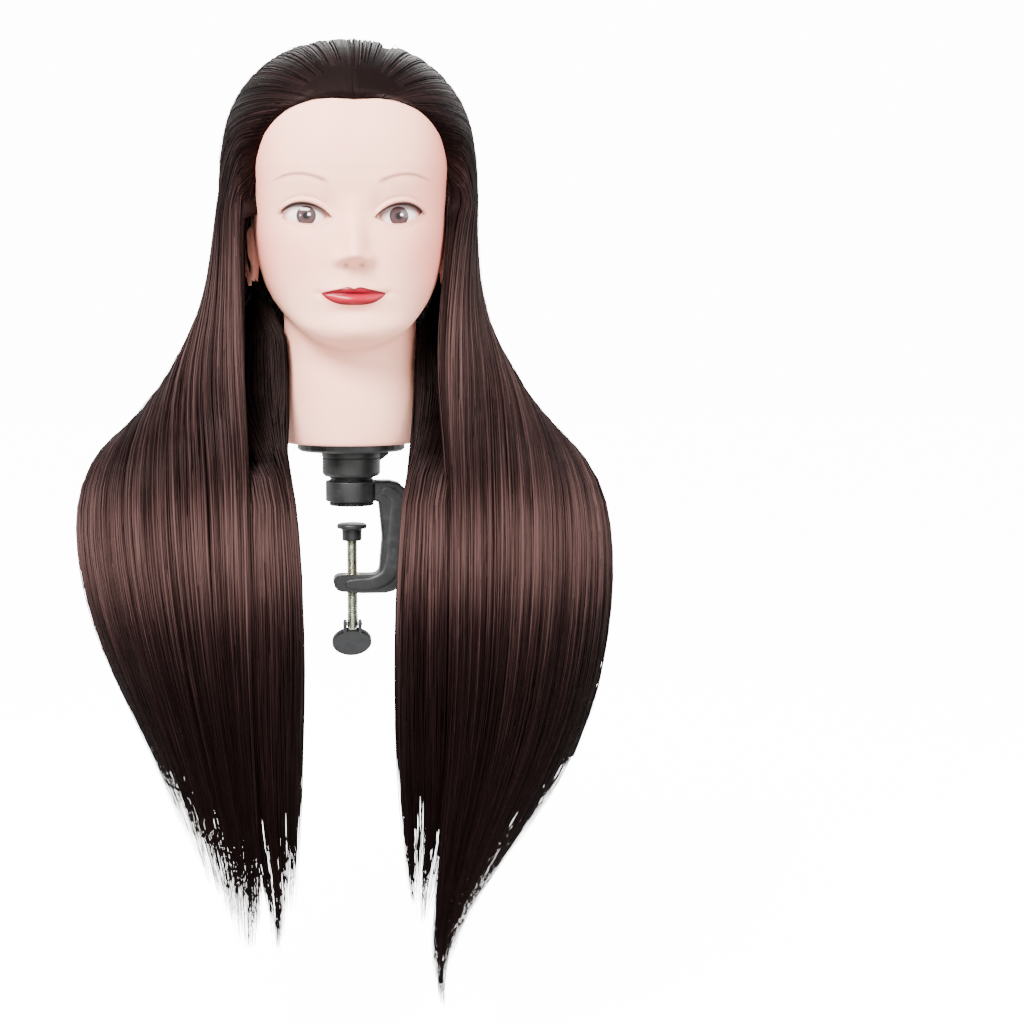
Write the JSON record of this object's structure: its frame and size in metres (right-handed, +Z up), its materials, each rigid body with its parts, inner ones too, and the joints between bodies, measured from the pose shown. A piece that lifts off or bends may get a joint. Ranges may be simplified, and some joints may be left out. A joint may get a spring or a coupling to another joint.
{
  "type": "mannequin training head",
  "caption": "Hairdresser's training head with long straight brown hair on a swivelling post and tray, held by a table clamp with a threaded screw and folding thumb disc.",
  "frame": {"origin": "middle of the upper jaw's flat underside, where the clamp rests on a table top, under the swivel's axis", "axes": "+Z up along the post and swivel axis, the face looks towards -Y, the clamp's back is at +X"},
  "size_m": [0.398, 0.2198, 0.7136],
  "materials": {
    "clamp_plastic": "moulded satin black",
    "jaw_pad": "moulded black with a toothed rim",
    "insert": "turned",
    "holder_plastic": "moulded satin black",
    "tray": "moulded satin black",
    "post": "moulded satin black",
    "sleeve": "soft black with flutes",
    "fasteners": "zinc plated",
    "screw_pad": "moulded black",
    "screw": "yellowish zinc plate",
    "paddle": "moulded satin black",
    "skin": "soft pale pink vinyl, painted brows and lips",
    "core": "rigid foam",
    "neck_fitting": "moulded",
    "eyes": "clear gloss over grey brown irises",
    "hair": "straight dark brown hair with a soft sheen"
  },
  "bodies": {
    "frame": {"clamp_frame": "clamp_plastic", "jaw_pad": "jaw_pad", "thread_insert": "insert"},
    "swivel": {"friction_washer": "holder_plastic", "swivel_hub": "holder_plastic", "tray": "tray", "post_shaft": "post", "post_sleeve": "sleeve", "sleeve_screw": "holder_plastic", "pivot_bolt": "fasteners", "pivot_washer": "fasteners"},
    "head": {"head_skin": "skin", "head_core": "core", "neck_plate": "neck_fitting", "neck_socket": "neck_fitting", "eye_left": "eyes", "eye_right": "eyes", "hair_cap": "hair", "hair_side_left": "hair", "hair_side_right": "hair", "hair_nape_left": "hair", "hair_nape_right": "hair"},
    "screw_foot": {"screw_pad": "screw_pad"},
    "screw": {"clamp_screw": "screw"},
    "paddle": {"thumb_paddle": "paddle", "paddle_pin": "fasteners"}
  },
  "joints": [
    {"name": "head_swivel", "type": "hinge", "parent": "frame", "child": "swivel", "pos_m": [0, 0, 0.0186], "axis": [0, 0, 1], "continuous": true},
    {"name": "head_lift", "type": "slide", "parent": "swivel", "child": "head", "axis": [0, 0, 1], "range_m": [0, 0.1]},
    {"name": "screw_feed", "type": "slide", "parent": "frame", "child": "screw_foot", "axis": [0, 0, 1], "range_m": [-0.02, 0.0125]},
    {"name": "screw_turn", "type": "hinge", "parent": "screw_foot", "child": "screw", "pos_m": [0, 0, -0.0138], "axis": [0, 0, 1], "range_deg": [-5761, 3601]},
    {"name": "paddle_fold", "type": "hinge", "parent": "screw", "child": "paddle", "pos_m": [0, 0, -0.09], "axis": [1, 0, 0], "range_deg": [-130, 50]}
  ],
  "couplings": [
    {"joint": "screw_turn", "follows": "screw_feed", "rad_per_m": 5026.5}
  ]
}
